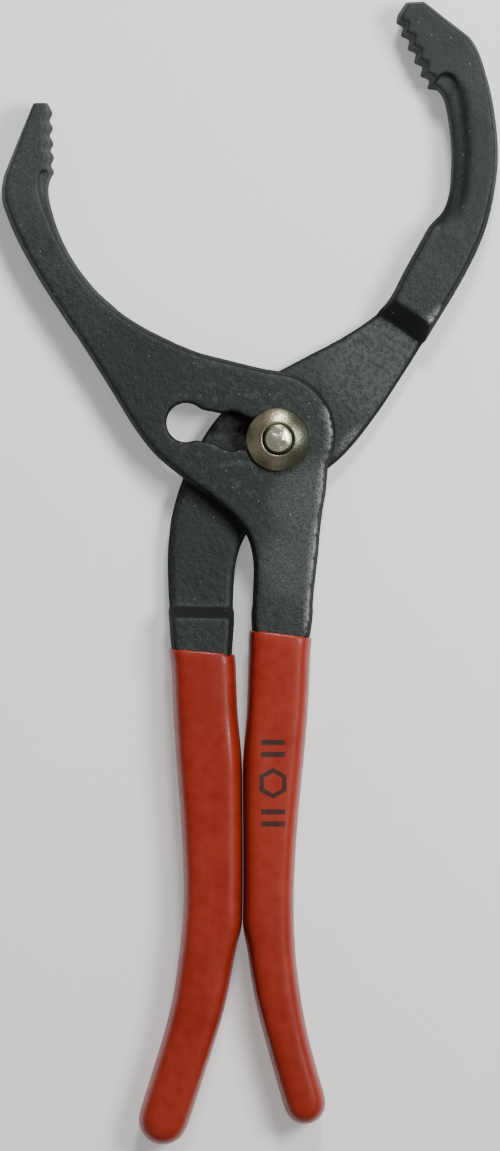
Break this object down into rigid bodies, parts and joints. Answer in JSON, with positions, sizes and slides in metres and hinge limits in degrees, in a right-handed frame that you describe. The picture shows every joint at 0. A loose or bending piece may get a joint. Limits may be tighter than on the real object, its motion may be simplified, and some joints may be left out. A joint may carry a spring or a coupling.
{
  "type": "slip-joint oil filter pliers",
  "caption": "Long-handled slip-joint pliers with curved toothed jaws that grip and turn a spin-on oil filter.",
  "frame": {"origin": "centre of the pivot bolt's rear head, on the surface that the pliers lie on", "axes": "+Y from the handles to the jaws, +Z along the pivot towards the domed washer, +X towards the rear lever's jaw"},
  "size_m": [0.1323, 0.3046, 0.0173],
  "materials": {
    "forged_steel": "drop-forged steel with a rough black oxide finish, worn bright on a few edges",
    "dipped_vinyl": "red-orange dipped vinyl, semi-gloss",
    "plated_steel": "yellowish zinc plate, worn and lightly hammered"
  },
  "bodies": {
    "front": {"front_lever": "forged_steel", "right_grip": "dipped_vinyl"},
    "pivot": {"pivot_bolt": "plated_steel", "pivot_washer": "plated_steel"},
    "rear": {"rear_lever": "forged_steel", "left_grip": "dipped_vinyl"}
  },
  "joints": [
    {"name": "pivot_slide", "type": "slide", "parent": "front", "child": "pivot", "axis": [-0.9826, 0.1857, 0], "range_m": [0, 0.0248]},
    {"name": "lever_hinge", "type": "hinge", "parent": "pivot", "child": "rear", "pos_m": [0, 0, 0], "axis": [0, 0, -1], "range_deg": [0, 60]}
  ]
}
